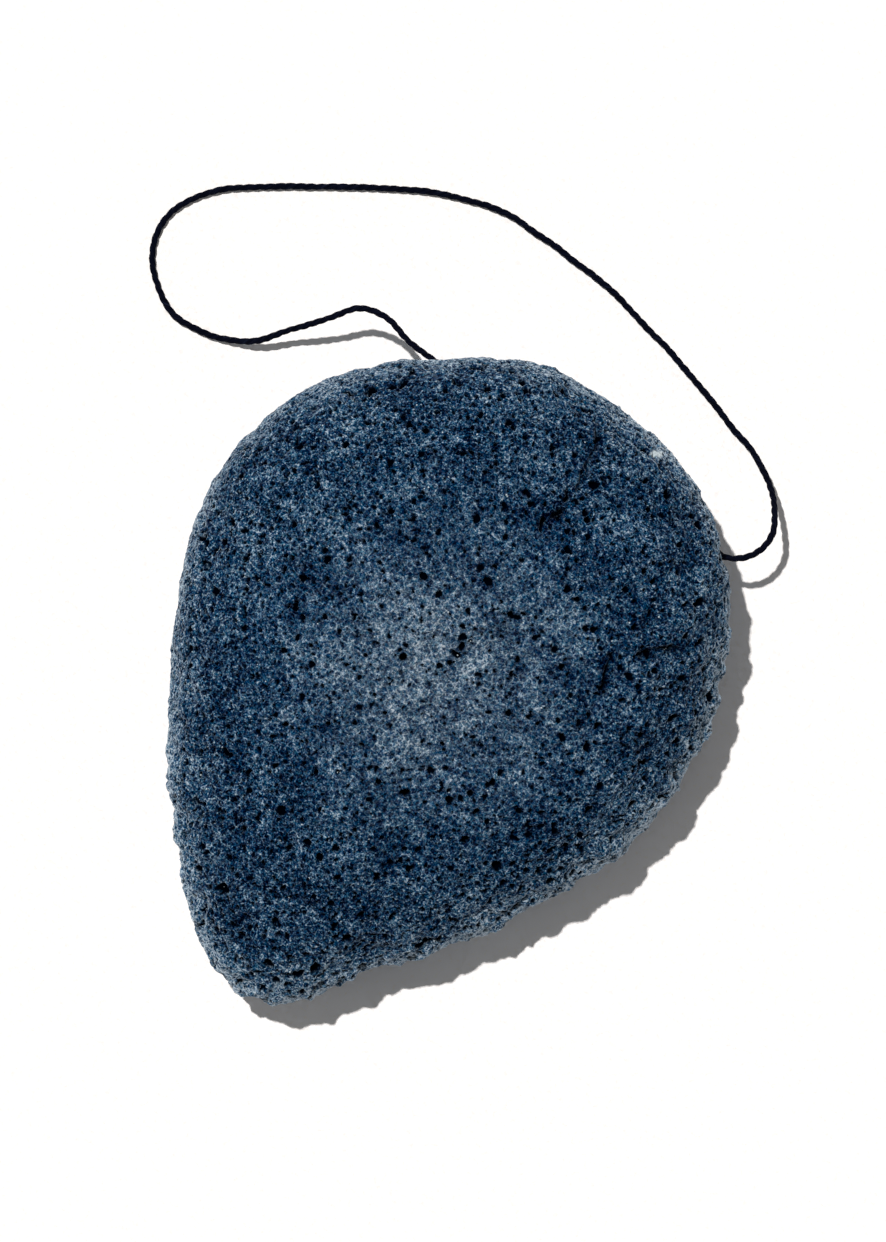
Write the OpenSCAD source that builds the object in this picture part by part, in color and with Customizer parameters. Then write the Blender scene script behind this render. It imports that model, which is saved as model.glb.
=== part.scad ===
// Teardrop konjac sponge with a cotton hanging cord.
// The cord runs through a tunnel across the round end and is closed by a reef knot inside the foam.
// Frame: +Z up from the flat back, +Y towards the round end, the cord's tunnel along X.

/* [Sponge] */
// Length from the narrow tip to the round end
sponge_l = 88; // [76:1:104]
// Width across the widest part
sponge_w = 70.5; // [62:0.5:84]
// Height of the crown above the flat back
sponge_h = 23.5; // [18:0.5:32]
// Height of the widest line round the sponge
rim_h = 8.5; // [6:0.5:10]
// Share of its height that the foam gains at the round end and loses at the tip
taper_share = 0.13; // [0:0.01:0.2]
// Distance that the flat back stays inside the rim
back_inset = 6; // [4:0.5:8]
// How far the crown's middle lies towards the round end
crown_shift = 4; // [0:0.5:7]
// Depth of the shallow lumps on the crown
lump_depth = 0.7; // [0:0.1:1.2]
// Spacing of the lumps
lump_pitch = 31; // [24:1:40]

/* [Cord tunnel] */
// Distance from the round end to the tunnel
tunnel_inset = 8.1; // [7:0.1:11]
// Height of the tunnel above the flat back
tunnel_h = 9; // [7:0.5:11]
// Depth of the dent that the cord pulls at each mouth
dent_depth = 1.4; // [0.6:0.1:2]
// Spread of each dent
dent_r = 4; // [3:0.5:6]
// Radius of each flared mouth
mouth_r = 2.4; // [2:0.1:3]
// Depth of the flare from the mouth to the bare tunnel
mouth_depth = 0.9; // [0.6:0.1:1.5]

/* [Cord] */
// Diameter of the twisted cotton cord
cord_d = 0.9; // [0.8:0.05:1]
// Gap between the cord and its tunnel
cord_clearance = 0.05; // [0.02:0.01:0.1]
// Straight length of cord outside each mouth
lead_l = 1; // [0.5:0.1:1.2]

/* [Knot] */
// Distance from the left mouth to the middle of the knot
knot_inset = 13; // [10:1:30]
// Gap between the knot and its pocket in the foam
pocket_clearance = 0.3; // [0.1:0.05:0.6]

/* [Pores] */
// Number of the largest open pores on the crown
pore_count = 80; // [0:10:110]
// Radius of the smallest of them
pore_r_low = 0.5; // [0.4:0.05:0.7]
// Radius of the largest of them
pore_r_high = 0.85; // [0.7:0.05:1]

/* [Hidden] */

foam_colour = "#3d5670";
cord_colour = "#10131f";

half_l = sponge_l / 2;
half_w = sponge_w / 2;
cord_r = cord_d / 2;
bore_r = cord_r + cord_clearance;
overrun = 1;

// The outline's radius every 15 degrees, anticlockwise from +X, as a share of half the width and length.
outline_shares = [
    0.964, 1.02, 1.043, 1.062, 1.045, 1.012, 0.997, 1.006, 1.005, 1.025, 1.05, 1.032,
    0.952, 0.86, 0.81, 0.81, 0.828, 0.9, 0.99, 0.99, 0.875, 0.847, 0.849, 0.895
];
sides = 72;
crown_rings = 12;
edge_rings = 5;
// How square the crown's section is: 2 is an ellipse.
crown_squareness = 2.35;
golden_angle = 137.508;
nudge_angle = 30;
// The pores stop at this share of the way from the crown to the rim.
pore_reach_share = 0.9;
// How far a pore's centre stands above the foam, as a share of its radius.
pore_lift_share = 0.35;

// One half of the reef knot, in cord diameters: its standing part, its bight and its cut tail.
stand_shares = [[-7, 0, 0], [-6, 0, 0], [-4.8, 0.3, 0.08]];
bight_shares = [
    [-3.6, 0.62, 0.35], [-2.4, 0.62, 0.64], [-1.2, 0.78, 0.15], [0, 1.5, -0.62],
    [1.2, 2.1, -0.15], [2.2, 1.5, 0.5], [2.6, 0, 0.7]
];
tail_shares = [[-4.4, -0.85, 0.15]];
// Where the knot meets the runs on each side of it, and the room that it and its pocket take.
knot_half_l = -stand_shares[0].x * cord_d;
knot_r = max([for (p = bight_shares) norm([p.y, p.z])]) * cord_d + cord_r;
pocket_r = knot_r + pocket_clearance;

// Rings to a stretch between two points of a swept path.
loop_steps = 2;
knot_steps = 3;
cord_sides = 8;

// The free cord's route from the left mouth round to the right one, past its two straight leads.
route = [
    [-24.6, 36.1, 8.8], [-28.6, 37, 8.2], [-32.1, 36.1, 7.6], [-34.8, 33, 6.2],
    [-37.8, 29.2, 4.2], [-41, 25.4, 2.1], [-44.1, 23.5, 0.8], [-47.4, 22.5, 0.45],
    [-51.8, 22.4, 0.45], [-55.8, 24.4, 0.45], [-58.7, 27.8, 0.45], [-59.5, 32.2, 0.45],
    [-57.8, 36.4, 0.45], [-54.9, 39.6, 0.45], [-51.3, 42.4, 0.45], [-47.5, 44.9, 0.45],
    [-39.8, 50, 0.45], [-35.9, 52.4, 0.45], [-31.9, 54.4, 0.45], [-27.8, 55.9, 0.45],
    [-23.7, 56.8, 0.45], [-19.4, 57, 0.45], [-15, 56.9, 0.45], [-10.6, 56.7, 0.45],
    [-6.1, 56.1, 0.45], [-1.6, 55.2, 0.45], [2.9, 54.2, 0.45], [11.6, 51.8, 0.45],
    [15.8, 50.4, 0.45], [19.5, 49.3, 0.8], [22.9, 47.5, 2.4], [25.7, 45, 5.2],
    [27.2, 42.3, 7.4], [27.4, 40, 8.3], [26.7, 38.1, 8.8], [25.3, 36.6, 9]
];

// Interpolation helpers

// A point on the Catmull-Rom curve between b and c, at t from 0 to 1.
function between(a, b, c, d, t) =
    (2 * b + (c - a) * t + (2 * a - 5 * b + 4 * c - d) * t * t + (3 * b - a - 3 * c + d) * t * t * t) / 2;

// A smooth line through every point, with a number of steps from each to the next.
function smooth(points, steps) = let (last = len(points) - 1) [
    for (i = [0:last - 1], k = [0:steps - 1])
        between(points[max(i - 1, 0)], points[i], points[i + 1], points[min(i + 2, last)], k / steps),
    points[last]
];

function unit(v) = v / norm(v);

// Sponge outline

// The share of the outline's radius at an angle.
function share_at(angle) =
    let (n = len(outline_shares), place = angle / 360 * n, i = floor(place))
    between(outline_shares[(i + n - 1) % n], outline_shares[i % n], outline_shares[(i + 1) % n],
        outline_shares[(i + 2) % n], place - i);

raw_outline = [for (i = [0:sides - 1]) let (a = 360 * i / sides) share_at(a) * [cos(a), sin(a)]];
low = [min([for (p = raw_outline) p.x]), min([for (p = raw_outline) p.y])];
high = [max([for (p = raw_outline) p.x]), max([for (p = raw_outline) p.y])];
// The rim, centred, with exactly the sponge's length and width.
outline = [
    for (p = raw_outline)
        [
            half_w * (2 * p.x - high.x - low.x) / (high.x - low.x),
            half_l * (2 * p.y - high.y - low.y) / (high.y - low.y)
        ]
];

// Where the rim crosses the line y, on the side that sign gives.
function rim_x(y, sign) = sign * max([
    for (i = [0:sides - 1])
        let (p = outline[i], q = outline[(i + 1) % sides])
        if ((p.y - y) * (q.y - y) <= 0 && p.y != q.y)
            sign * (p.x + (q.x - p.x) * (y - p.y) / (q.y - p.y))
]);

tunnel_y = half_l - tunnel_inset;
left_x = rim_x(tunnel_y, -1) + dent_depth;
right_x = rim_x(tunnel_y, 1) - dent_depth;
knot_x = left_x + knot_inset;
left_mouth = [left_x, tunnel_y, tunnel_h];
right_mouth = [right_x, tunnel_y, tunnel_h];

// Sponge surface

// The foam's height at y, as a share of its height half way along.
function height_share(y) = 1 + taper_share * y / half_l;

// The inward pull of the cord on a point near a mouth.
function dent(p, mouth, sign) =
    let (away = norm(p - mouth) / dent_r) [-sign * dent_depth * exp(-away * away), 0, 0];

function dented(p) = p + dent(p, left_mouth, -1) + dent(p, right_mouth, 1);

function lumps(p, share) =
    lump_depth * (1 - pow(share, 4))
    * (1 + sin(360 * p.x / lump_pitch + 40) * cos(360 * p.y / lump_pitch - 25)) / 2;

// A point of the crown: i counts round the rim, and share runs from 0 at the crown's middle to 1 at the rim.
function crown_point(i, share) =
    let (
        rise = pow(1 - pow(share, crown_squareness), 1 / crown_squareness),
        flat = outline[i] * share + [0, crown_shift * (1 - share * share)],
        up = (rim_h + (sponge_h - rim_h) * rise) * height_share(flat.y) - lumps(flat, share) * rise
    )
    dented([flat.x, flat.y, up]);

// A point of the rounded edge: turn runs from 0 at the rim to 90 on the flat back.
function edge_point(i, turn) =
    let (flat = outline[i] * (1 - back_inset / half_w * (1 - cos(turn))))
    dented([flat.x, flat.y, rim_h * (1 - sin(turn)) * height_share(flat.y)]);

crown_shares = [for (j = [crown_rings:-1:1]) pow(sin(90 * j / crown_rings), 2 / crown_squareness)];

module sponge_form() {
    rings = concat(
        [for (j = [edge_rings:-1:1]) [for (i = [0:sides - 1]) edge_point(i, 90 * j / edge_rings)]],
        [for (share = crown_shares) [for (i = [0:sides - 1]) crown_point(i, share)]]
    );
    last = len(rings) - 1;
    points = concat([for (ring = rings, p = ring) p], [crown_point(0, 0)]);
    faces = concat(
        [[for (i = [0:sides - 1]) i]],
        [
            for (j = [0:last - 1], i = [0:sides - 1], half = [0, 1])
                let (a = j * sides + i, b = j * sides + (i + 1) % sides)
                half == 0 ? [a, a + sides, b] : [b, a + sides, b + sides]
        ],
        [for (i = [0:sides - 1]) [last * sides + i, (last + 1) * sides, last * sides + (i + 1) % sides]]
    );
    polyhedron(points, faces);
}

// Turns a solid that stands along Z so that it runs along +X from a point.
module along_x(from) {
    translate(from) rotate([0, 90, 0]) children();
}

module tunnel_cut() {
    along_x([left_x - overrun, tunnel_y, tunnel_h])
        cylinder(r = bore_r, h = right_x - left_x + 2 * overrun, $fn = 48);
}

// The flare starts inside the foam and widens past the dented skin.
module mouth_cut(mouth, sign) {
    flare_l = mouth_depth + dent_depth + overrun;
    translate(mouth - [sign * mouth_depth, 0, 0]) rotate([0, sign * 90, 0])
        cylinder(r1 = bore_r, r2 = mouth_r, h = flare_l, $fn = 48);
}

// A round-ended hollow that the foam leaves about the knot.
module knot_pocket() {
    straight = 2 * (knot_half_l - pocket_r);
    along_x([knot_x - straight / 2, tunnel_y, tunnel_h]) {
        cylinder(r = pocket_r, h = straight, $fn = 48);
        sphere(r = pocket_r, $fn = 48);
        translate([0, 0, straight]) sphere(r = pocket_r, $fn = 48);
    }
}

// A repeatable number from 0 to 1 for each whole number.
function scatter(i) = let (v = sin(i * 127.1 + 31) * 437.5) v - floor(v);

// Open pores, spread evenly by the golden angle and then nudged, so that they don't line up.
module pores() {
    for (k = [0:pore_count - 1]) {
        share = pore_reach_share * sqrt((k + scatter(k + pore_count)) / pore_count);
        r = pore_r_low + (pore_r_high - pore_r_low) * pow(scatter(k), 2);
        i = floor((k * golden_angle + nudge_angle * scatter(k + 2 * pore_count)) / 360 * sides) % sides;
        translate(crown_point(i, share) + [0, 0, pore_lift_share * r]) sphere(r = r, $fn = 24);
    }
}

module sponge_body() {
    color(foam_colour) difference() {
        sponge_form();
        tunnel_cut();
        mouth_cut(left_mouth, -1);
        mouth_cut(right_mouth, 1);
        knot_pocket();
        if (pore_count > 0) pores();
    }
}

// Cord

// A round tube along a smooth line that is never upright, with a number of steps to each stretch. Its end faces are
// square to the first and the last stretch.
module tube(path, r, steps) {
    n = len(path);
    points = [
        for (j = [0:n - 1])
            let (
                after = j == 0 ? steps : min(j + 1, n - 1),
                before = j == n - 1 ? n - 1 - steps : max(j - 1, 0),
                ahead = unit(path[after] - path[before]),
                side = unit(cross(ahead, [0, 0, 1])),
                up = cross(side, ahead)
            )
            for (k = [0:cord_sides - 1])
                let (a = 360 * (k + 0.5) / cord_sides) path[j] + r * (cos(a) * side + sin(a) * up)
    ];
    faces = concat(
        [[for (k = [cord_sides - 1:-1:0]) k]],
        [
            for (j = [0:n - 2], k = [0:cord_sides - 1], half = [0, 1])
                let (a = j * cord_sides + k, b = j * cord_sides + (k + 1) % cord_sides)
                half == 0 ? [a, b, a + cord_sides] : [b, b + cord_sides, a + cord_sides]
        ],
        [[for (k = [0:cord_sides - 1]) (n - 1) * cord_sides + k]]
    );
    polyhedron(points, faces);
}

// The free cord, from mouth to mouth.
module hanging_loop() {
    lead = [lead_l, 0, 0];
    ends = concat([left_mouth, left_mouth - lead], route, [right_mouth + lead, right_mouth]);
    color(cord_colour) tube(smooth(ends, loop_steps), cord_r, loop_steps);
}

// The straight stretches of cord in the tunnel, which the loop swings on.
module left_run() {
    color(cord_colour) along_x(left_mouth)
        cylinder(r = cord_r, h = knot_x - knot_half_l - left_x, $fn = 48);
}

module right_run() {
    start = knot_x + knot_half_l;
    color(cord_colour) along_x([start, tunnel_y, tunnel_h])
        cylinder(r = cord_r, h = right_x - start, $fn = 48);
}

// One half of the reef knot, in its own place about the origin.
module knot_half() {
    mirrored = [for (i = [len(bight_shares) - 2:-1:0]) let (p = bight_shares[i]) [p.x, -p.y, p.z]];
    path = concat(stand_shares, bight_shares, mirrored, tail_shares) * cord_d;
    tube(smooth(path, knot_steps), cord_r, knot_steps);
}

module knot_left() {
    color(cord_colour) translate([knot_x, tunnel_y, tunnel_h]) knot_half();
}

// The other half is the same bight turned over, so that the two hold each other.
module knot_right() {
    color(cord_colour) translate([knot_x, tunnel_y, tunnel_h]) rotate([0, 180, 0]) knot_half();
}

sponge_body();
hanging_loop();
left_run();
right_run();
knot_left();
knot_right();
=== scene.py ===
"""A teardrop konjac sponge on a white table, seen from straight above.

The foam is one closed surface with its lumps, creases and pores worked out as arrays. The cord is three
plies of cotton twisted round the route that the string takes from one side of the round end to the other.
"""

import math

import bpy
import numpy as np
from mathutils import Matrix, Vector


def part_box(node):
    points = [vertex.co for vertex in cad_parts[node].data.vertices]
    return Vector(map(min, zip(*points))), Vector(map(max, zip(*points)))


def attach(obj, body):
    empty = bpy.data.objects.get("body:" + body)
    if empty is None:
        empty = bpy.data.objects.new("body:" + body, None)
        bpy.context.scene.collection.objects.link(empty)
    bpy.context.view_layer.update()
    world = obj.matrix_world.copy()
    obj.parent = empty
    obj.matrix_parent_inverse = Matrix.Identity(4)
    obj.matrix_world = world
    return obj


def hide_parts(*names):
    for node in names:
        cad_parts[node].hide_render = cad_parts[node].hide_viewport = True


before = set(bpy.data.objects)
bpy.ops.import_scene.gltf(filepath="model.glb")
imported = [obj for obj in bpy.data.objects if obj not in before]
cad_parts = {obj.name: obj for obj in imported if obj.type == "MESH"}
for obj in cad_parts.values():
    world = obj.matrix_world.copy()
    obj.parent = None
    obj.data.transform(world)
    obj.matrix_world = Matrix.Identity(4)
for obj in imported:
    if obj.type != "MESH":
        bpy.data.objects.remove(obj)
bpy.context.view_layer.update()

# Lengths are written in millimetres and times MM.
MM = 0.001

# Photograph: the point in the picture's middle, how many degrees the picture is turned, and how much its
# height spans in the plane of the sponge's rim, which is this high
VIEW_MIDDLE = np.array([-1.08, 9.13]) * MM
VIEW_TURN = 34.15
VIEW_SPAN = 157.9 * MM
VIEW_PLANE = 8 * MM
LENS = 200
SENSOR = 36
# Lamp: how many degrees high it stands, which way its light goes along the table, how strong it is, and how
# many degrees wide, which sets how soft a shadow's edge is
SUN_HEIGHT = 65.5
SUN_TOWARDS = (0.934, -0.358)
SUN_STRENGTH = 2.9
SUN_ANGLE = 1.6
# Sky: how bright it is overhead, and how much brighter at the horizon, as in a light tent. The power sets how
# near the horizon that is.
FILL_STRENGTH = 0.12
FILL_HORIZON = 1.0
FILL_POWER = 4.0
# Table: its half width, how far it lies under the sponge, its white as the camera sees it, and how far apart
# and how bright the roller's marks are
TABLE_HALF = 2000 * MM
TABLE_DROP = 0.02 * MM
SEEN_WHITE = (1.01, 0.96, 0.925)
ROLLER_PITCH = 0.6 * MM
ROLLER_MARKS = 0.2

# Sponge: the same sizes, outline and broad lumps as the solid that it replaces
SPONGE_L = 88 * MM
SPONGE_W = 70.5 * MM
SPONGE_H = 23.5 * MM
RIM_H = 8.5 * MM
TAPER_SHARE = 0.13
BACK_INSET = 6 * MM
CROWN_SHIFT = 4 * MM
CROWN_SQUARENESS = 2.35
BROAD_DEPTH = 0.7 * MM
BROAD_PITCH = 31 * MM
BROAD_PHASES = (40, -25)
# The outline's radius every 15 degrees, anticlockwise from +X, as a share of half the width and length
OUTLINE_SHARES = np.array([
    0.964, 1.02, 1.043, 1.062, 1.045, 1.012, 0.997, 1.006, 1.005, 1.025, 1.05, 1.032,
    0.952, 0.86, 0.81, 0.81, 0.828, 0.9, 0.99, 0.99, 0.875, 0.847, 0.849, 0.895,
])
# How finely the foam's surface is divided: along its section, on its back, and round its rim. The section's
# curves are first worked out at so many points, and the back's straight line at so many.
FINE_STEP = 0.14 * MM
BACK_STEP = 0.5 * MM
COLUMNS = 1792
CURVE_POINTS = 4000
LINE_POINTS = 400
# Rings nearer to a middle than this share of the outline skip no more columns. The back's rings skip this
# many times as many as the crown's.
LEAST_SHARE = 0.07
BACK_SKIP = 4

# Mouths of the tunnel, left and right: how far the foam is pulled in round it, how wide it flares at the
# skin, and how many times as far it is torn open upwards as to the sides
MOUTHS = ((0.7 * MM, 1.05 * MM, 1), (0.6 * MM, 1.2 * MM, 2.5))
# Over about this radius the foam is pulled in at a mouth, and no lump stands up where the cord swings past.
DENT_R = 4 * MM
# A mouth's radius shrinks by this much for its depth. The tunnel behind it is open to this radius and depth.
# Both only cut foam that is this near to the mouth along the tunnel. They are painted black as painted shade
# from the last depth on.
FLARE_SLOPE = 0.576
BORE_R = 0.5 * MM
BORE_L = 5 * MM
MOUTH_REACH = 4 * MM
HOLE_DARK = 1.5 * MM

# Skin's lumps in millimetres: how far apart they lie, how high they stand, and how much of that is left at
# the rim
LUMPS = ((8, 0.6, 0.3), (3.4, 0.28, 1.2), (2.0, 0.12, 3.5), (1.2, 0.1, 2.0), (0.55, 0.1, 1.6))
# How narrow a band at the rim has its own lumps, froth and painted sheen: powers of the share of the outline
LUMP_BAND, FROTH_BAND, SHEEN_PAINT_BAND = 6, 10, 24
# The rim's skin is rough, and painted pale as painted sheen, both by this share more on the side away from
# the lamp and as much less on the other; the extra pale on the shaded side is painted light.
RIM_SIDES = 0.45
# Under this height above the table the lumps, pores and creases fade, so that the back is plain.
CALM_H = 1.2 * MM
# One scrap of pale foam near the round end: its place, its two directions over its half length and half
# width, how far its edge strays, and how sharp the edge is
SCRAP = np.array([9.3, 41.5]) * MM
SCRAP_SHAPE = np.array([[0.83, -0.56], [0.56, 0.83]]) / [0.9 * MM, 0.5 * MM]
SCRAP_STRAY = 0.3 * MM
SCRAP_SHARPNESS = 3

# Pores: the lattice's cell and the least and greatest radius in millimetres, the share of cells with one, and
# how long they are for their width
PORES = (
    (2.6, 0.4, 0.72, 0.28, 1.3), (1.7, 0.26, 0.5, 0.42, 1.25), (1.7, 0.24, 0.46, 0.42, 1.5),
    (1.1, 0.16, 0.32, 0.55, 1.2), (1.1, 0.16, 0.3, 0.55, 1.5), (0.9, 0.15, 0.24, 0.6, 1.3),
)
# How much of that share holds in the crown's middle, and how much is added at the rim and towards the tip
MIDDLE_SHARE, RIM_SHARE, TIP_SHARE = 0.6, 0.9, 0.5
# At the rim the skin is frothy: there the first of these is added to the share as well, and the second is how
# much of the darker foam round the pores is taken off.
FROTH = 1.0
FROTH_HALO = 1.2
# Pores stray from round by this much, over this length.
WARP = 0.16 * MM
WARP_PITCH = 0.6 * MM
# A pore is cut this many times as deep as its egg reaches, but never deeper than this.
PORE_DEEPER = 1.4
PORE_DEEPEST = 1.5 * MM
# The foam round a pore is darker out to this many of its radii.
HALO = 1.9
# A pore is painted black from this depth on, as painted shade in its hollow.
DARK_DEPTH = 0.2 * MM

# Creases as photographed: the points that each one passes in millimetres, then its depth, half its width, and
# how black its bottom is painted, as painted shade
CREASES = (
    (((1.6, 39.9), (2.4, 38.2), (3.1, 35.4), (3.1, 34.0), (3.8, 32.3)), 0.6, 0.28, 0.2),
    (((2.4, 31.7), (3.0, 30.4), (3.2, 29.0), (2.7, 27.7), (2.3, 26.5), (2.7, 25.5)), 0.9, 0.28, 0.5),
    (((18.4, 17.3), (19.6, 15.0), (19.9, 13.3)), 0.8, 0.3, 0.7),
    (((25.0, 22.6), (22.4, 20.9), (21.7, 19.4)), 0.7, 0.3, 0.5),
    (((4.8, 11.8), (5.6, 12.6), (7.0, 13.3)), 0.3, 0.22, 0.3),
    (((-2.0, -9.6), (0.2, -9.2)), 0.6, 0.24, 0.3),
)
# A crease strays from its line this far, over this length, both in millimetres, by noise with this seed.
CREASE_STRAYS = ((0.35, 1.9, 91), (0.28, 0.55, 94))
# A crease comes and goes over this length. The share of its depth swings about a middle, down to the least.
TORN_PITCH = 1.1 * MM
TORN_MIDDLE, TORN_SWING, TORN_LEAST = 0.8, 1.3, 0.15
# How black a crease is painted beside a pore of its depth, as painted shade. Its painted shade is this many
# times as wide as the crease and this many times as dark as the foam round a pore.
CREASE_BLACK = 0.6
SHADE_WIDTH = 3.8
SHADE_STRENGTH = 1.9

# The baked map holds the front and the back as two discs, each this many map widths to a sponge's length,
# about these places.
UV_SCALE = 0.6
FRONT_PLACE = [0.25, 0.5]
BACK_PLACE = [0.75, 0.5]

# Cord
CORD_D = 0.9 * MM
# How far it leaves the foam straight, and the points that it passes from the left mouth to the right one
LEAD = 1 * MM
ROUTE = np.array([
    [-24.6, 36.1, 8.8], [-28.6, 37, 8.2], [-32.1, 36.1, 7.6], [-34.8, 33, 6.2],
    [-37.8, 29.2, 4.2], [-41, 25.4, 2.1], [-44.1, 23.5, 0.8], [-47.4, 22.5, 0.45],
    [-51.8, 22.4, 0.45], [-55.8, 24.4, 0.45], [-58.7, 27.8, 0.45], [-59.5, 32.2, 0.45],
    [-57.8, 36.4, 0.45], [-54.9, 39.6, 0.45], [-51.3, 42.4, 0.45], [-47.5, 44.9, 0.45],
    [-39.8, 50, 0.45], [-35.9, 52.4, 0.45], [-31.9, 54.4, 0.45], [-27.8, 55.9, 0.45],
    [-23.7, 56.8, 0.45], [-19.4, 57, 0.45], [-15, 56.9, 0.45], [-10.6, 56.7, 0.45],
    [-6.1, 56.1, 0.45], [-1.6, 55.2, 0.45], [2.9, 54.2, 0.45], [11.6, 51.8, 0.45],
    [15.8, 50.4, 0.45], [19.5, 49.3, 0.8], [22.9, 47.5, 2.4], [25.7, 45, 5.2],
    [27.2, 42.3, 7.4], [27.4, 40, 8.3], [26.7, 38.1, 8.8], [25.3, 36.6, 9],
]) * MM
ROUTE_STEPS = 12
# How far the limp string strays from its smooth route, over this length. The kinks grow from nothing over
# this many of the route's points at each end.
KINKS = 0.14 * MM
KINK_PITCH = 3.2 * MM
KINK_FADE = 5
# Plies: how many, the length of one turn, how far their middles lie from the cord's, their radius, how much
# that wavers, over this length, and how finely they are divided round and along
PLIES = 3
PLY_PITCH = 4.0 * MM
PLY_OUT = 0.19 * CORD_D
PLY_R = 0.29 * CORD_D
PLY_WAVER = 0.14
WAVER_PITCH = 1.3 * MM
PLY_SIDES = 10
RING_STEP = 0.12 * MM
# On the thread map each ply starts this far beside the one before.
THREAD_GAP = 10 * MM

# First seed of each noise
SEED = {"lumps": 0, "kinks": 5, "plies": 7, "warp": 11, "pores": 21, "torn": 97}
# Large odd numbers that mix up a lattice cell's place
MIXERS = [np.uint64(n) for n in (0x9E3779B1, 0x85EBCA77, 0xC2B2AE3D, 0xD6E8FEB86659FD93)]
# How many cells the noise's and the pores' lattices are moved, which keeps their places above zero
NOISE_SHIFT, PORE_SHIFT = 1000, 500
# A Mix node's two colours and its result are these sockets.
FIRST, SECOND, MIXED = 6, 7, 2


def linear(colour):
    """A hex colour as the eye sees it, turned to linear red, green and blue, with an alpha of 1."""
    parts = np.array([int(colour[i:i + 2], 16) for i in (1, 3, 5)]) / 255
    light = np.where(parts <= 0.04045, parts / 12.92, ((parts + 0.055) / 1.055) ** 2.4)
    return (*light.tolist(), 1.0)


def feed(tree, node, inputs):
    """Gives each named or numbered socket of a node a value, or links what feeds it."""
    for socket, value in inputs.items():
        if isinstance(value, bpy.types.Node):
            value = value.outputs[0]
        if isinstance(value, bpy.types.NodeSocket):
            tree.links.new(value, node.inputs[socket])
        else:
            node.inputs[socket].default_value = value


def add(tree, kind, inputs=(), stops=(), **settings):
    """Adds a node with its settings and inputs. stops are a ramp's places and colours."""
    node = tree.nodes.new("ShaderNode" + kind)
    for name, value in settings.items():
        setattr(node, name, value)
    feed(tree, node, dict(inputs))
    for i, (place, colour) in enumerate(stops):
        ramp = node.color_ramp.elements
        stop = ramp[i] if i < 2 else ramp.new(place)
        stop.position, stop.color = place, linear(colour)
    return node


def new_material(name):
    """An empty material, its nodes and its Principled shader."""
    material = bpy.data.materials.new(name)
    material.use_nodes = True
    return material, material.node_tree, material.node_tree.nodes["Principled BSDF"]


# Camera, lights and table

def make_camera():
    """Looks straight down with a long lens, turned so that the sponge's tip points to the lower left.

    Its height over the rim's plane is the span times the lens's length over the sensor's.
    """
    camera = bpy.data.objects.new("camera", bpy.data.cameras.new("camera"))
    camera.data.lens = LENS
    camera.data.sensor_width = SENSOR
    camera.location = (*VIEW_MIDDLE, VIEW_PLANE + VIEW_SPAN * LENS / SENSOR)
    camera.rotation_euler = (0, 0, math.radians(VIEW_TURN))
    camera.data.clip_start = 10 * MM
    bpy.context.scene.collection.objects.link(camera)
    bpy.context.scene.camera = camera


def make_light():
    """One lamp as hard as in the photograph, and a sky that fills the shadows from low down and shows white.

    The sky's strength is the overhead one plus the horizon's times a power of one minus the height.
    """
    lamp = bpy.data.objects.new("key_lamp", bpy.data.lights.new("key_lamp", "SUN"))
    height = math.radians(SUN_HEIGHT)
    way = Vector((*(np.array(SUN_TOWARDS) * math.cos(height)), -math.sin(height)))
    lamp.rotation_euler = way.to_track_quat("-Z", "Y").to_euler()
    lamp.data.energy = SUN_STRENGTH
    lamp.data.angle = math.radians(SUN_ANGLE)
    bpy.context.scene.collection.objects.link(lamp)

    world = bpy.data.worlds.new("sky")
    world.use_nodes = True
    tree = world.node_tree
    tree.nodes.clear()
    rays = add(tree, "LightPath").outputs
    seen = add(tree, "Math", {0: rays["Is Camera Ray"], 1: rays["Is Glossy Ray"]}, operation="ADD")
    seen = add(tree, "Math", {0: seen, 1: rays["Is Transmission Ray"]}, operation="ADD", use_clamp=True)
    up = add(tree, "SeparateXYZ", {0: add(tree, "TexCoord").outputs["Generated"]}).outputs["Z"]
    low = add(tree, "Math", {0: 1.0, 1: up}, operation="SUBTRACT", use_clamp=True)
    low = add(tree, "Math", {0: low, 1: FILL_POWER}, operation="POWER")
    low = add(tree, "Math", {0: low, 1: FILL_HORIZON, 2: FILL_STRENGTH}, operation="MULTIPLY_ADD")
    fill = add(tree, "Background", {"Color": linear("#ffffff"), "Strength": low})
    white = add(tree, "Background", {"Color": linear("#ffffff"), "Strength": 1.0})
    both = add(tree, "MixShader", {0: seen, 1: fill, 2: white})
    add(tree, "OutputWorld", {"Surface": both})
    bpy.context.scene.world = world
    bpy.context.scene.view_settings.view_transform = "Standard"


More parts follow.
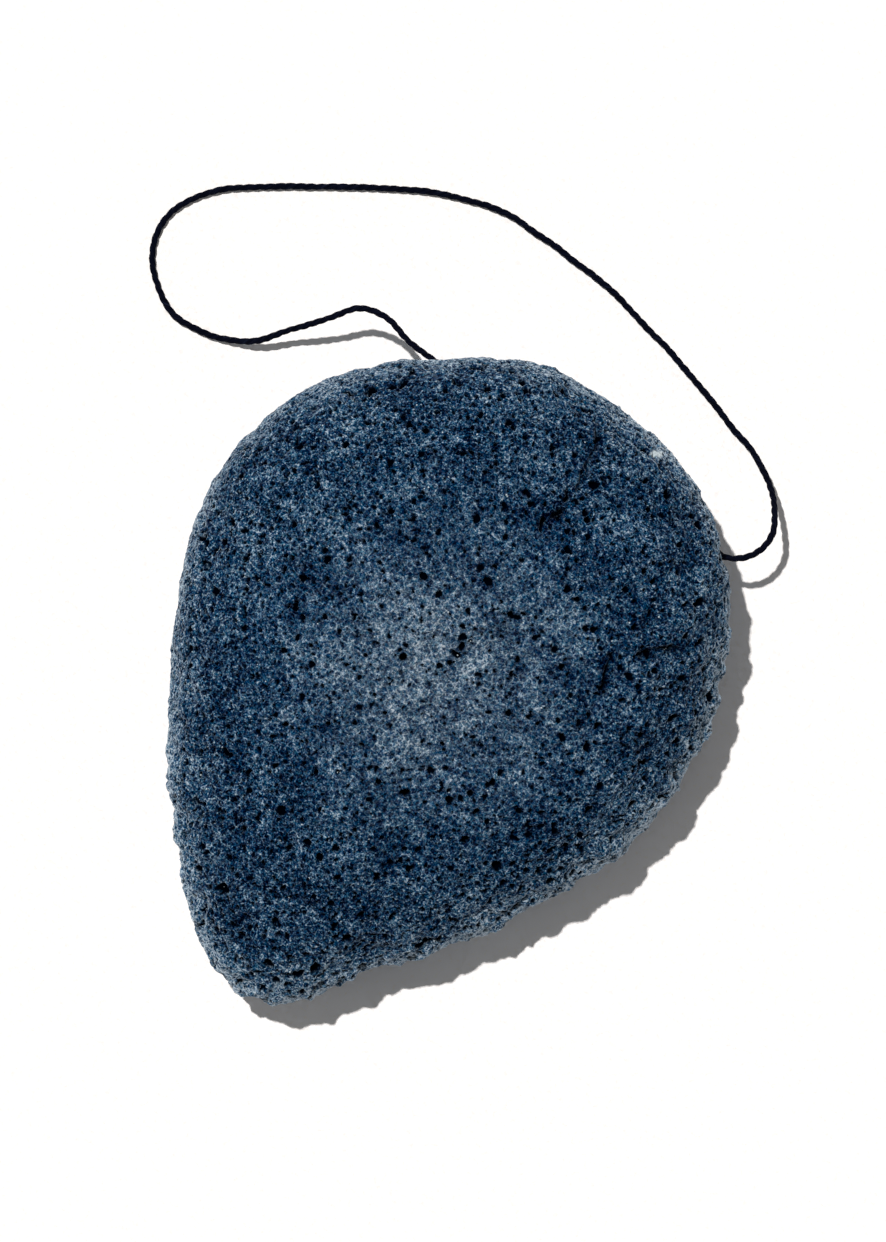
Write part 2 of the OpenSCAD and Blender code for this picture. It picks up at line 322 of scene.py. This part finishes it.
def make_floor():
    """A table top in matt white paint just under the sponge, with faint roller marks that show in the shadow.

    The camera sees the paint a little brighter and warmer than the sponge does, which keeps it white up to
    the foam and takes the blue light from the foam out of its shadow.
    """
    mesh = bpy.data.meshes.new("floor")
    corners = [(x * TABLE_HALF, y * TABLE_HALF, -TABLE_DROP) for x, y in ((-1, -1), (1, -1), (1, 1), (-1, 1))]
    mesh.from_pydata(corners, [], [(0, 1, 2, 3)])
    material, tree, shader = new_material("rolled_white_paint")
    place = add(tree, "TexCoord").outputs["Object"]
    roller = add(tree, "TexNoise", {"Vector": place, "Scale": 1 / ROLLER_PITCH, "Detail": 2.0,
                                    "Roughness": 0.6})
    roller = add(tree, "MapRange", {"Value": roller, "From Min": 0.3, "From Max": 0.7, "To Min": 0.0,
                                    "To Max": ROLLER_MARKS})
    seen = add(tree, "VectorMath", {0: roller, 1: SEEN_WHITE}, operation="ADD")
    rays = add(tree, "LightPath").outputs["Is Camera Ray"]
    paint = add(tree, "Mix", {0: rays, FIRST: linear("#ffffff"), SECOND: seen}, data_type="RGBA")
    feed(tree, shader, {"Base Color": paint.outputs[MIXED], "Roughness": 1.0, "Specular IOR Level": 0.0})
    mesh.materials.append(material)
    floor = bpy.data.objects.new("floor", mesh)
    bpy.context.scene.collection.objects.link(floor)


# Curves, grids and noise

def spline(before, start, end, after, t):
    """The Catmull-Rom curve from start to end, at t from 0 to 1."""
    return (2 * start + (end - before) * t + (2 * before - 5 * start + 4 * end - after) * t ** 2
            + (3 * start - before - 3 * end + after) * t ** 3) / 2


def smooth_line(points, steps):
    """A Catmull-Rom line through all the points, with the given number of steps between each two."""
    padded = np.concatenate([points[:1], points, points[-1:]])
    t = (np.arange(steps) / steps)[None, :, None]
    parts = spline(*[padded[i:len(padded) - 3 + i, None] for i in range(4)], t)
    return np.concatenate([parts.reshape(-1, 3), points[-1:]])


def even_line(line, step):
    """The same line with points an equal distance apart, near to step, and how far along each one is."""
    along = np.concatenate([[0], np.cumsum(np.linalg.norm(np.diff(line, axis=0), axis=1))])
    count = max(int(round(along[-1] / step)), 2) + 1
    places = np.linspace(0, along[-1], count)
    return np.stack([np.interp(places, along, line[:, i]) for i in range(3)], 1), places


def unit(vectors):
    """Each vector with a length of 1."""
    return vectors / np.maximum(np.linalg.norm(vectors, axis=-1, keepdims=True), 1e-12)


def tube_quads(rows, columns):
    """The corners of the faces of a grid whose last column joins its first."""
    row, column = np.meshgrid(np.arange(rows - 1), np.arange(columns), indexing="ij")
    after = (column + 1) % columns
    first, second = row * columns, (row + 1) * columns
    return np.stack([first + column, first + after, second + after, second + column], -1).reshape(-1, 4)


def lattice(cells, seed):
    """A repeatable number from 0 to 1 for each cell of a cubic lattice.

    The cell's whole-number place is multiplied by large odd numbers, and the bits are folded over twice.
    """
    x, y, z = (cells[..., i].astype(np.int64).astype(np.uint64) for i in range(3))
    mixed = x * MIXERS[0] ^ y * MIXERS[1] ^ z * MIXERS[2]
    mixed = (mixed + np.uint64(seed * 7919 + 17)) * MIXERS[3]
    mixed ^= mixed >> np.uint64(32)
    mixed *= MIXERS[3]
    mixed ^= mixed >> np.uint64(29)
    return (mixed >> np.uint64(11)).astype(float) / 2.0 ** 53


def noise(points, size, seed):
    """Smooth noise from -1 to 1: each lattice cell's corners hold a random number, blended by a quintic."""
    scaled = points / size + NOISE_SHIFT
    base = np.floor(scaled)
    t = scaled - base
    t = t * t * t * (t * (t * 6 - 15) + 10)
    total = np.zeros(points.shape[:-1])
    for corner in np.ndindex(2, 2, 2):
        weight = np.prod(np.where(corner, t, 1 - t), axis=-1)
        total += weight * lattice(base + corner, seed)
    return 2 * total - 1


def noises(points, size, seed, count=3):
    """Several noises with seeds that follow on each other, as the last axis."""
    return np.stack([noise(points, size, seed + i) for i in range(count)], -1)


def make_piece(name, points, faces, material, uv, values=()):
    """A mesh object from arrays: faces is a list of arrays, each with its own number of corners to a face."""
    mesh = bpy.data.meshes.new(name)
    mesh.vertices.add(len(points))
    mesh.vertices.foreach_set("co", points.astype(np.float32).ravel())
    corners = np.concatenate([f.ravel() for f in faces]).astype(np.int32)
    sizes = np.concatenate([np.full(len(f), f.shape[1]) for f in faces]).astype(np.int32)
    mesh.loops.add(len(corners))
    mesh.loops.foreach_set("vertex_index", corners)
    mesh.polygons.add(len(sizes))
    mesh.polygons.foreach_set("loop_start", (np.cumsum(sizes) - sizes).astype(np.int32))
    mesh.polygons.foreach_set("use_smooth", np.ones(len(sizes), bool))
    mesh.update(calc_edges=True)
    for map_name, places in uv.items():
        mesh.uv_layers.new(name=map_name).uv.foreach_set("vector", places.astype(np.float32).ravel())
    for value_name, numbers in dict(values).items():
        layer = mesh.attributes.new(value_name, "FLOAT", "POINT")
        layer.data.foreach_set("value", numbers.astype(np.float32))
    mesh.validate()
    mesh.materials.append(material)
    piece = bpy.data.objects.new(name, mesh)
    bpy.context.scene.collection.objects.link(piece)
    return piece


# Cord

def cotton_material():
    """Black dyed cotton, spun and plied: dull, with fine lint that catches the light and paler fibres.

    Fibres lie along the ply, up to 2.5 mm long and 0.25 mm wide: coarser than real ones, so that they show.
    """
    material, tree, shader = new_material("dyed_cotton_yarn")
    thread = add(tree, "UVMap", uv_map="thread")
    place = add(tree, "Mapping", {"Vector": thread, "Scale": (1 / (2.5 * MM), 1 / (0.25 * MM), 1)})
    fibres = add(tree, "TexNoise", {"Vector": place, "Scale": 1.0, "Detail": 3.0, "Roughness": 0.6})
    colour = add(tree, "ValToRGB", {0: fibres}, stops=(
        (0.35, "#000108"), (0.62, "#070a1a"), (0.82, "#222a44")))
    bump = add(tree, "Bump", {"Height": fibres, "Strength": 0.6, "Distance": 0.05 * MM})
    feed(tree, shader, {"Base Color": colour, "Normal": bump, "Roughness": 0.9, "Specular IOR Level": 0.04,
                        "Sheen Weight": 0.02, "Sheen Roughness": 0.4})
    return material


def frames_along(line):
    """Two directions across a line at each point, the first level with the table."""
    ahead = unit(np.gradient(line, axis=0))
    side = unit(np.cross(ahead, [0, 0, 1]))
    return side, np.cross(side, ahead)


def twisted_cord(name, route, start, material):
    """Plies wound round a route as helices.

    A ply's middle is the route's point plus a small radius times (cos a, sin a) across the route, where a
    grows by a turn for each pitch. Its surface is a circle round that, whose radius wavers as hand-spun
    yarn's does. The arrays' axes are the route's point, the ply and the side of the ply.
    """
    line, along = even_line(route, RING_STEP)
    side, up = (d[:, None, None] for d in frames_along(line))
    turn = (2 * math.pi * (along + start) / PLY_PITCH)[:, None, None, None]
    wind = turn + (2 * math.pi * np.arange(PLIES) / PLIES)[:, None, None]
    round_ply = (2 * math.pi * np.arange(PLY_SIDES) / PLY_SIDES)[:, None]
    out = np.cos(wind) * side + np.sin(wind) * up
    over = -np.sin(wind) * side + np.cos(wind) * up
    middle = line[:, None, None] + out * PLY_OUT
    ply_r = PLY_R * (1 + PLY_WAVER * noise(middle, WAVER_PITCH, SEED["plies"]))[..., None]
    points = middle + ply_r * (np.cos(round_ply) * out + np.sin(round_ply) * over)
    points = points.transpose(1, 0, 2, 3).reshape(-1, 3)

    rows = len(line)
    firsts = np.arange(PLIES) * rows * PLY_SIDES
    sheet = tube_quads(rows, PLY_SIDES)
    sides = np.concatenate([sheet[:, ::-1] + first for first in firsts])
    ring = np.arange(PLY_SIDES)
    ends = np.concatenate([[first + ring[::-1], first + ring + (rows - 1) * PLY_SIDES] for first in firsts])

    # The thread map holds how far round and along its ply a corner lies. A face that closes the tube goes on
    # past the last side.
    row, column = np.divmod(sheet, PLY_SIDES)
    column = np.where(column < column[:, :1] - 1, column + PLY_SIDES, column)
    thread = np.stack([along[row], 2 * math.pi * PLY_R * column / PLY_SIDES], -1)[:, ::-1].reshape(-1, 2)
    thread = np.concatenate([thread + [0, i * THREAD_GAP] for i in range(PLIES)] + [np.zeros((ends.size, 2))])
    return make_piece(name, points, [sides, ends], material, {"thread": thread}), line


def make_cord():
    """The free loop, from one mouth of the tunnel to the other, and the two runs inside the foam."""
    cotton = cotton_material()
    left_low, left_high = (np.array(c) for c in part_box("left_run"))
    right_low, right_high = (np.array(c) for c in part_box("right_run"))
    middle = (left_low + left_high) / 2
    left, inner_left, inner_right, right = (
        np.array([x, middle[1], middle[2]]) for x in (left_low[0], left_high[0], right_low[0], right_high[0]))
    lead = np.array([LEAD, 0, 0])
    route = smooth_line(np.concatenate([[left, left - lead], ROUTE, [right + lead, right]]), ROUTE_STEPS)
    fade = (np.arange(len(route)) / (KINK_FADE * ROUTE_STEPS)).clip(0, 1)
    route[:, :2] += KINKS * noises(route, KINK_PITCH, SEED["kinks"], 2) * (fade * fade[::-1])[:, None]
    loop, line = twisted_cord("cord_loop", route, 0, cotton)
    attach(loop, "cord")
    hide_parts("hanging_loop")
    for name, node, start, end in (("cord_left_run", "left_run", inner_left, left),
                                   ("cord_right_run", "right_run", inner_right, right)):
        run, _ = twisted_cord(name, np.stack([start, end]), -abs(start[0] - end[0]), cotton)
        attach(run, "cord")
        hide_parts(node)
    return left, right, cotton


# Sponge

def outline_at(azimuth):
    """The rim's points at angles in radians: a closed Catmull-Rom curve through the shares, made to size."""
    count = len(OUTLINE_SHARES)

    def raw(angles):
        place = angles / (2 * math.pi) * count
        first = np.floor(place).astype(int)
        near = [OUTLINE_SHARES[(first + i) % count] for i in (-1, 0, 1, 2)]
        return spline(*near, place - first)[:, None] * np.stack([np.cos(angles), np.sin(angles)], 1)

    every_half_degree = raw(np.linspace(0, 2 * math.pi, 720, endpoint=False))
    low, high = every_half_degree.min(0), every_half_degree.max(0)
    return (2 * raw(azimuth) - high - low) / (high - low) * np.array([SPONGE_W, SPONGE_L]) / 2


def section():
    """Rings from the crown's middle to the back's: shares of the outline, heights, crown rises and UV reach.

    The crown's section is a superellipse, the edge a quarter turn that draws in, and the back flat. The reach
    runs from 0 at the crown's middle to 1 where the back starts, and on to 2 at the back's middle.
    """
    power = 2 / CROWN_SQUARENESS
    inner = 1 - BACK_INSET / (SPONGE_W / 2)
    crown = np.linspace(0, math.pi / 2, CURVE_POINTS)
    edge = crown[1:]
    back = np.linspace(inner, 0, LINE_POINTS)[1:]
    share = np.concatenate([np.sin(crown) ** power, 1 - (1 - inner) * (1 - np.cos(edge)), back])
    rise = np.cos(crown).clip(0) ** power
    height = np.concatenate([RIM_H + (SPONGE_H - RIM_H) * rise, RIM_H * (1 - np.sin(edge)),
                             np.zeros(len(back))])
    rise = np.concatenate([rise, np.zeros(len(edge) + len(back))])
    step = np.hypot(np.diff(share) * (SPONGE_W + SPONGE_L) / 4, np.diff(height))
    along = np.concatenate([[0], np.cumsum(step)])
    skin = along[len(crown) + len(edge) - 1]
    rings = np.concatenate([np.arange(FINE_STEP, skin, FINE_STEP),
                            np.arange(skin, along[-1] - BACK_STEP, BACK_STEP)])
    reach = np.interp(rings, [0, skin, along[-1]], [0, 1, 2])
    return [np.interp(rings, along, v) for v in (share, height, rise)] + [reach]


def base_surface(left, right):
    """The foam's surface without its texture: rings of the outline, lumped as the solid is, and dented.

    The height is the section's, times one plus the taper along the sponge, less the broad lumps, which are a
    sine wave across times a cosine wave along. Round each mouth a bell curve pulls the foam in.
    """
    rim = outline_at(np.linspace(0, 2 * math.pi, COLUMNS, endpoint=False))
    share, height, rise, reach = section()
    flat = share[:, None, None] * rim[None]
    flat[..., 1] += (CROWN_SHIFT * (1 - share ** 2) * (rise > 0))[:, None]
    x, y = flat[..., 0], flat[..., 1]
    phase_x, phase_y = (math.radians(phase) for phase in BROAD_PHASES)
    wave = np.sin(2 * math.pi * x / BROAD_PITCH + phase_x) * np.cos(2 * math.pi * y / BROAD_PITCH + phase_y)
    broad = BROAD_DEPTH * (1 - share[:, None] ** 4) * (1 + wave) / 2 * rise[:, None]
    points = np.stack([x, y, height[:, None] * (1 + TAPER_SHARE * y * 2 / SPONGE_L) - broad], -1)
    for mouth, sign, (dent, _, _) in zip((left, right), (1, -1), MOUTHS):
        points[..., 0] += sign * dent * np.exp(-((points - mouth) ** 2).sum(-1) / DENT_R ** 2)
    around = np.roll(points, -1, 1) - np.roll(points, 1, 1)
    normals = unit(np.cross(np.gradient(points, axis=0), around))
    disc = rim[None] * np.where(reach > 1, 2 - reach, reach)[:, None, None] / SPONGE_L * UV_SCALE
    return points, normals, share, reach, disc


def strides(share, reach):
    """How many columns each ring skips, so that the points stay evenly spread towards the middles.

    A stride is the greatest power of two under one over the share, and at most twice the ring's before.
    """
    stride = 2 ** np.floor(np.log2(0.999 / share.clip(LEAST_SHARE, 0.99))).astype(int)
    stride[reach > 1] *= BACK_SKIP
    for i in range(1, len(stride)):
        stride[i] = min(stride[i], 2 * stride[i - 1])
    return stride


def ring_faces(counts):
    """Faces between rings of points, with five corners where a ring has twice the points of its neighbour."""
    four, five = [], []
    first = np.cumsum(counts) - counts
    for a, b, n, m in zip(first[:-1], first[1:], counts[:-1], counts[1:]):
        j = np.arange(min(n, m))
        k = (j + 1) % min(n, m)
        if n == m:
            four.append(np.stack([a + j, b + j, b + k, a + k], 1))
        elif n < m:
            five.append(np.stack([a + j, b + 2 * j, b + 2 * j + 1, b + 2 * k, a + k], 1))
        else:
            five.append(np.stack([a + 2 * j, b + j, b + k, a + 2 * k, a + 2 * j + 1], 1))
    return np.concatenate(four), np.concatenate(five)


def skin_lumps(base, away, edge, mouths):
    """How high the skin's lumps stand: a sum of noises, each with its own share of its height at the rim.

    That share blends in with a power of the share of the outline. Near a mouth a bell curve takes away what
    would stand up.
    """
    band = edge ** LUMP_BAND
    lumps = sum(size * MM * noise(base, pitch * MM, SEED["lumps"] + i) * (1 + (left_over - 1) * band)
                for i, (pitch, size, left_over) in enumerate(LUMPS)) * (1 + RIM_SIDES * away * band)
    for mouth in mouths:
        clear = 1 - np.exp(-((base - mouth) ** 2).sum(-1) / DENT_R ** 2)
        lumps *= np.where(lumps > 0, clear, 1)
    return lumps


def pore_depth(points, normals, cell, low, high, chance, stretch, seed):
    """How deep one size of pore reaches under each point, and how near a point beside one is, from 0 to 1.

    Each cell of a turned lattice may hold one hollow egg, drawn out along a random direction. Under a point
    inside one, the depth is the way along the inward normal to the egg's far wall: the larger root of a
    quadratic.
    """
    turn = np.eye(3)
    for i, angle in enumerate(np.random.default_rng(seed).uniform(0, 2 * math.pi, 3)):
        c, s = math.cos(angle), math.sin(angle)
        j, k = (i + 1) % 3, (i + 2) % 3
        step = np.eye(3)
        step[j, j], step[j, k], step[k, j], step[k, k] = c, -s, s, c
        turn = turn @ step
    local, way = points @ turn / cell + PORE_SHIFT, normals @ turn
    base = np.floor(local)
    draw = [lattice(base, seed * 10 + i) for i in (0, 1, 2, 3, 4, 5, 6, 8)]
    radius = (low + (high - low) * draw[0] ** 2) / cell
    room = 1 - 2 * np.minimum(radius * stretch * HALO, 0.5)
    centre = np.stack([0.5 + (draw[i] - 0.5) * room for i in (1, 2, 3)], -1)
    axis = unit(np.stack(draw[4:7], -1) - 0.5)
    squeeze = 1 / stretch - 1
    off = local - base - centre
    off = off + squeeze * (off * axis).sum(-1, keepdims=True) * axis
    way = way + squeeze * (way * axis).sum(-1, keepdims=True) * axis
    a, b = (way * way).sum(-1), (off * way).sum(-1)
    inside = (off * off).sum(-1) - radius ** 2
    depth = (b + np.sqrt(np.maximum(b * b - a * inside, 0))) / a * cell
    kept = draw[7] < chance
    near = (HALO - np.sqrt((off * off).sum(-1)) / radius) / (HALO - 1)
    return np.where((inside < 0) & kept, np.maximum(depth, 0), 0), np.where(kept, near.clip(0, 1), 0)


def skin_pores(base, normals, edge, warp):
    """The deepest pore under each point, and how near the nearest one is, from 0 to 1.

    The share of cells with a pore is its size's, times the middle's share plus the rim's times the square of
    the share of the outline, the froth's times a higher power of it, and the tip's times the way to the tip.
    """
    pores, halo = np.zeros((2, len(base)))
    share = MIDDLE_SHARE + RIM_SHARE * edge ** 2 + FROTH * edge ** FROTH_BAND \
        + TIP_SHARE * (-base[:, 1] / SPONGE_L).clip(0, None)
    for i, (cell, low, high, chance, stretch) in enumerate(PORES):
        deep, near = pore_depth(base + WARP * warp, normals, cell * MM, low * MM, high * MM, chance * share,
                                stretch, SEED["pores"] + i)
        pores, halo = np.maximum(pores, deep), np.maximum(halo, near)
    return np.minimum(PORE_DEEPER * pores, PORE_DEEPEST), halo


def crease_depth(points):
    """Narrow torn folds, each deepest along a bent line, fading as a bell curve to both sides, and patchy.

    Returns their depth, how much of it is painted black as shade, and the wider painted shade about them from
    0 to 1.
    """
    depth, black, shade = np.zeros((3, len(points)))
    shaken = points
    for stray, pitch, seed in CREASE_STRAYS:
        shaken = shaken + stray * MM * noises(points, pitch * MM, seed)
    for line, deep, half, blackness in CREASES:
        line = np.array(line) * MM
        for start, end in zip(line[:-1], line[1:]):
            way = end - start
            t = (((shaken[:, :2] - start) @ way) / (way @ way)).clip(0, 1)
            away = ((shaken[:, :2] - start - t[:, None] * way) ** 2).sum(-1)
            cut = deep * MM * np.exp(-away / (half * MM) ** 2)
            depth, black = np.maximum(depth, cut), np.maximum(black, cut * blackness)
            shade = np.maximum(shade, deep * np.exp(-away / (SHADE_WIDTH * half * MM) ** 2))
    crown = points[:, 2] > RIM_H
    torn = (TORN_MIDDLE + TORN_SWING * noise(points, TORN_PITCH, SEED["torn"])).clip(TORN_LEAST, 1) * crown
    return depth * torn, black * torn, shade * crown


def mouth_depth(points, mouth, radius, rise):
    """How far the flared mouth and the tunnel behind it cut into the foam along the tunnel.

    The mouth is a cone round the tunnel, and reaches rise times as high above it as to the sides.
    """
    up = points[:, 2] - mouth[2]
    away = np.hypot(points[:, 1] - mouth[1], np.where(up > 0, up / rise, up))
    flare = ((radius - away) / FLARE_SLOPE).clip(0, None)
    return np.where(away < BORE_R, BORE_L, flare) * (abs(points[:, 0] - mouth[0]) < MOUTH_REACH)


def foam_surface(left, right):
    """The foam's points ring by ring, each ring's count, what the colour reads, and where they are baked.

    A point is the base surface's, plus its normal times the lumps less the pores and creases, and then moved
    along the tunnel where a mouth cuts in.
    """
    base, normals, share, reach, disc = base_surface(left, right)
    stride = strides(share, reach)
    kept = np.concatenate([i * COLUMNS + np.arange(0, COLUMNS, s) for i, s in enumerate(stride)])
    counts = COLUMNS // stride
    base, normals, disc = (a.reshape(-1, a.shape[-1])[kept] for a in (base, normals, disc))
    edge = np.repeat(share, counts)
    away = unit(base[:, :2]) @ unit(np.array(SUN_TOWARDS))
    warp = noises(base, WARP_PITCH, SEED["warp"])
    lumps = skin_lumps(base, away, edge, (left, right))
    pores, halo = skin_pores(base, normals, edge, warp)
    creases, black, shade = crease_depth(base)
    free = (base[:, 2] / CALM_H).clip(0, 1) ** 0.5
    points = base + normals * ((lumps - pores - creases) * free)[:, None]
    holes = np.zeros(len(base))
    for mouth, sign, (_, radius, rise) in zip((left, right), (1, -1), MOUTHS):
        cut = mouth_depth(base, mouth, radius, rise)
        points[:, 0] += sign * cut
        holes = np.maximum(holes, cut)
    points[:, 2] = points[:, 2].clip(0, None)

    # Painted shade: the pores, the creases' bottoms and the tunnel's mouths are painted black.
    painted_shade = ((pores + CREASE_BLACK * black) * free / DARK_DEPTH).clip(0, 1)
    scrap = (base[:, :2] - SCRAP + SCRAP_STRAY * warp[:, :2]) @ SCRAP_SHAPE
    scrap = (SCRAP_SHARPNESS * (1 - np.linalg.norm(scrap, axis=1))).clip(0, 1)
    values = {
        "painted_shade": np.maximum(painted_shade, (holes / HOLE_DARK).clip(0, 1)),
        # The darker foam round the pores and the painted shade beside the creases, less the froth at the rim
        "halo": np.maximum(halo, SHADE_STRENGTH * shade) - FROTH_HALO * halo * edge ** FROTH_BAND,
        # Painted sheen: the rim is painted paler, and more on the side away from the lamp as painted light.
        "edge": edge ** SHEEN_PAINT_BAND * (1 + RIM_SIDES * away),
        "scrap": scrap * (base[:, 2] > RIM_H),
    }
    return points, counts, values, disc, int(counts[reach < 1].sum())


def foam_material():
    """Freeze-dried konjac foam, dyed with charcoal: a torn, open-pored skin, matt and slightly velvety.

    Pale walls of broken cells stand over navy hollows, with a finer grain of fibre ends. The crown's middle
    is painted paler as painted light, and the rim paler as painted sheen. Pores, creases and the tunnel's
    mouths are painted black as painted shade, and a few pale torn tips are white specks, partly painted
    glints. The tone is a sum of patterns, each spread from -1 to 1 and times its amount, and a ramp gives
    each tone its colour.
    """
    material, tree, shader = new_material("freeze_dried_konjac_foam")
    place = add(tree, "TexCoord").outputs["Object"]
    shade_paint, halo, edge, scrap = (add(tree, "Attribute", attribute_name=name).outputs["Fac"]
                              for name in ("painted_shade", "halo", "edge", "scrap"))
    # Each noise's size in millimetres, its detail and its roughness
    bend, fibres, clumps, patches, dye = (
        add(tree, "TexNoise", {"Vector": place, "Scale": 1 / (size * MM), "Detail": detail,
                               "Roughness": roughness})
        for size, detail, roughness in ((0.7, 1.0, 0.5), (0.22, 1.0, 0.7), (1.5, 2.0, 0.6), (7, 2.0, 0.5),
                                        (0.35, 1.0, 0.6)))

    # Cells 0.5 mm across and walls 0.8 mm apart, both bent by up to 0.35 mm
    bend = add(tree, "VectorMath", {0: bend.outputs["Color"], 1: (0.5, 0.5, 0.5)}, operation="SUBTRACT")
    bend = add(tree, "VectorMath", {0: bend, 1: (0.7 * MM,) * 3, 2: place}, operation="MULTIPLY_ADD")
    cells = add(tree, "TexVoronoi", {"Vector": bend, "Scale": 1 / (0.5 * MM), "Detail": 1.0,
                                     "Roughness": 0.8, "Lacunarity": 2.1}, normalize=True)
    walls = add(tree, "TexVoronoi", {"Vector": bend, "Scale": 1 / (0.8 * MM)}, feature="DISTANCE_TO_EDGE")

    # The grain starts from a middle tone. Its patterns: the values that are spread from -1 to 1, and how much
    # each counts out to 12 mm from the crown's middle and from 32 mm on.
    middle = add(tree, "VectorMath", {0: place, 1: (1.6 * MM, 3.5 * MM, 22 * MM)}, operation="DISTANCE")
    middle = middle.outputs["Value"]
    grain = 0.565
    for source, low, high, near_middle, beyond in (
        (cells, 0.1, 0.55, 0.28, 0.33), (fibres, 0.3, 0.7, 0.2, 0.31), (walls, 0.18, 0.0, 0.13, 0.16),
    ):
        pattern = add(tree, "MapRange", {"Value": source, "From Min": low, "From Max": high, "To Min": -1.0},
                      clamp=source is walls)
        amount = add(tree, "MapRange", {"Value": middle, "From Min": 12 * MM, "From Max": 32 * MM,
                                        "To Min": near_middle, "To Max": beyond}, interpolation_type="SMOOTHSTEP")
        grain = add(tree, "Math", {0: pattern, 1: amount, 2: grain}, operation="MULTIPLY_ADD")

    # The tone adds clumps of cells, broad patches, the crown's middle painted paler as painted light, the rim
    # painted paler as painted sheen, and the foam round the pores with the painted shade beside the creases.
    clumps, patches = (add(tree, "MapRange", {"Value": source, "From Min": 0.3, "From Max": 0.7,
                                              "To Min": -1.0}, clamp=False) for source in (clumps, patches))
    # Painted light: the crown's middle is painted paler and the foam further out darker.
    near_middle = add(tree, "MapRange", {"Value": middle, "From Min": 3 * MM, "From Max": 26 * MM,
                                    "To Min": 1.0, "To Max": -1.0}, interpolation_type="SMOOTHSTEP")
    tone = grain
    for source, amount in ((clumps, 0.13), (patches, 0.1), (near_middle, 0.075), (edge, 0.33), (halo, -0.14)):
        tone = add(tree, "Math", {0: source, 1: amount, 2: tone}, operation="MULTIPLY_ADD")
    colour = add(tree, "ValToRGB", {0: tone}, stops=(
        (0.0, "#00010e"), (0.25, "#051d3b"), (0.5, "#294661"), (0.72, "#59748a"), (1.0, "#aebbc7")))

    # The dye took unevenly: some cells are bluer and others greyer. The crown's middle, painted paler as
    # painted light, is also painted the greyest.
    dye = add(tree, "SeparateColor", {0: dye.outputs["Color"]})
    hue, strength = (add(tree, "MapRange", {"Value": dye.outputs[i], "From Min": 0.3, "From Max": 0.7,
                                            "To Min": low, "To Max": high})
                     for i, low, high in ((0, 0.485, 0.512), (1, 0.67, 1.22)))
    strength = add(tree, "Math", {0: near_middle, 1: -0.08, 2: strength}, operation="MULTIPLY_ADD")
    colour = add(tree, "HueSaturation", {"Color": colour, "Hue": hue, "Saturation": strength})
    # Painted shade: black where the pores, creases and mouths are deep.
    colour = add(tree, "Mix", {0: shade_paint, FIRST: colour, SECOND: linear("#000209")}, data_type="RGBA")

    # White specks up to 0.26 mm across and 1.1 mm apart, only where the cells are clumped, and the one scrap.
    # The specks are pale fibre ends, partly painted glints.
    specks = add(tree, "TexVoronoi", {"Vector": place, "Scale": 1 / (1.1 * MM)})
    specks = add(tree, "MapRange", {"Value": specks, "From Min": 0.12, "From Max": 0.06})
    where = add(tree, "MapRange", {"Value": clumps, "From Min": 0.25, "From Max": 0.4})
    specks = add(tree, "Math", {0: specks, 1: where}, operation="MULTIPLY")
    specks = add(tree, "Math", {0: specks, 1: scrap}, operation="MAXIMUM")
    skin = add(tree, "Mix", {0: specks, FIRST: colour.outputs[MIXED], SECOND: linear("#c3ced2")},
               data_type="RGBA")
    bump = add(tree, "Bump", {"Height": grain, "Strength": 1.0, "Distance": 0.1 * MM})

    # Fibre tips catch the light only where the surface is seen aslant, and not in the pores or the grain's
    # hollows.
    slant = add(tree, "LayerWeight", {"Blend": 0.5}).outputs["Facing"]
    slant = add(tree, "MapRange", {"Value": slant, "From Min": 0.3, "From Max": 1.0})
    tips = add(tree, "MapRange", {"Value": grain, "From Min": 0.1, "From Max": 0.7})
    tips = add(tree, "Math", {0: tips, 1: shade_paint}, operation="SUBTRACT", use_clamp=True)
    fuzz = add(tree, "Math", {0: slant, 1: tips}, operation="MULTIPLY")
    gloss = add(tree, "Math", {0: fuzz, 1: 0.8}, operation="MULTIPLY")
    feed(tree, shader, {"Base Color": skin.outputs[MIXED], "Normal": bump, "Roughness": 0.8,
                        "Specular IOR Level": gloss, "Sheen Weight": fuzz, "Sheen Roughness": 0.35,
                        "Sheen Tint": linear("#d8e4ec")})
    return material


def make_sponge(left, right):
    """The foam as one closed mesh: rings from crown to back, with a fan of faces at each middle."""
    points, counts, values, disc, front = foam_surface(left, right)
    total = len(points)
    top, bottom = points[:counts[0]].mean(0), points[-counts[-1]:].mean(0)
    first = np.arange(counts[0])
    last = total - counts[-1] + np.arange(counts[-1])
    fans = np.concatenate([
        np.stack([np.full(len(first), total), first, np.roll(first, -1)], 1),
        np.stack([np.full(len(last), total + 1), np.roll(last, -1), last], 1),
    ])
    faces = [*ring_faces(counts), fans]
    disc = np.concatenate([disc, [[0, 0], [0, 0]]])
    bake = np.concatenate([
        np.where((f.min(1) >= front)[:, None, None], BACK_PLACE + disc[f] * [-1, 1], FRONT_PLACE + disc[f])
        .reshape(-1, 2) for f in faces
    ])
    values = {name: np.concatenate([v, [v[0], v[-1]]]) for name, v in values.items()}
    sponge = make_piece("foam_body", np.concatenate([points, [top, bottom]]), faces, foam_material(),
                        {"OFBake": bake}, values)
    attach(sponge, "sponge")
    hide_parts("sponge_body")


make_camera()
make_light()
left_mouth, right_mouth, cotton = make_cord()
make_sponge(left_mouth, right_mouth)
# The solid's own knots, out of sight in the foam, are made of the same cotton.
for node in ("knot_left", "knot_right"):
    for material_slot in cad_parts[node].material_slots:
        material_slot.material = cotton
make_floor()
